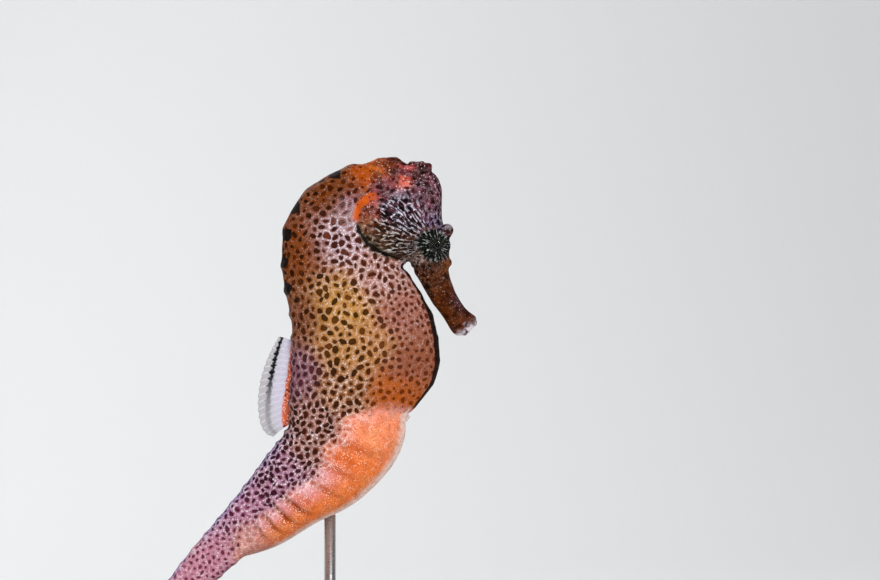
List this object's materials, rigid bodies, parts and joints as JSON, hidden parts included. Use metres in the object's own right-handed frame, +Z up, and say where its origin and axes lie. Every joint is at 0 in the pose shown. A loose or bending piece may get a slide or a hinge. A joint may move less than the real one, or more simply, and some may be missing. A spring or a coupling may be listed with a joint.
{
  "type": "seahorse display model",
  "caption": "Life-size still model of a spotted male longsnout seahorse with a full brood pouch and a curled tail, held by a rod on a round flat base.",
  "frame": {"origin": "centre of the stand base's flat underside, where it rests on the table", "axes": "+X the way the animal faces, +Z up, the animal's median plane is Y = 0 and its right side faces -Y"},
  "size_m": [0.0664, 0.0664, 0.1192],
  "materials": {
    "skin_rust": "spotted rust-brown skin, slightly wet sheen",
    "skin_tan": "tan and pinkish skin with small dark brown spots and fine white specks",
    "skin_plum": "plum and lavender skin with dark spots and pale ring edges",
    "skin_orange": "coral orange skin with fine pale speckle",
    "skin_brown": "red-brown skin with pale specks",
    "eye": "wet, glossy, dark with fine pale rays round the pupil",
    "fin": "thin, translucent white membrane between fine rays",
    "stand_wood": "dark satin-varnished wood",
    "stand_steel": "brushed steel rod"
  },
  "bodies": {
    "root": {"neck": "skin_rust", "trunk_chest": "skin_tan", "trunk_belly": "skin_tan", "tail_1": "skin_plum", "tail_2": "skin_plum", "tail_3": "skin_plum", "tail_4": "skin_plum", "tail_5": "skin_plum", "tail_6": "skin_plum", "brood_pouch": "skin_orange", "head": "skin_rust", "snout": "skin_brown", "coronet": "skin_rust", "gill_cover_left": "skin_rust", "gill_cover_right": "skin_rust", "eye_left": "eye", "eye_right": "eye", "pectoral_fin_left": "fin", "pectoral_fin_right": "fin", "dorsal_fin": "fin", "anal_fin": "fin", "stand_base": "stand_wood", "stand_rod": "stand_steel"}
  },
  "joints": []
}
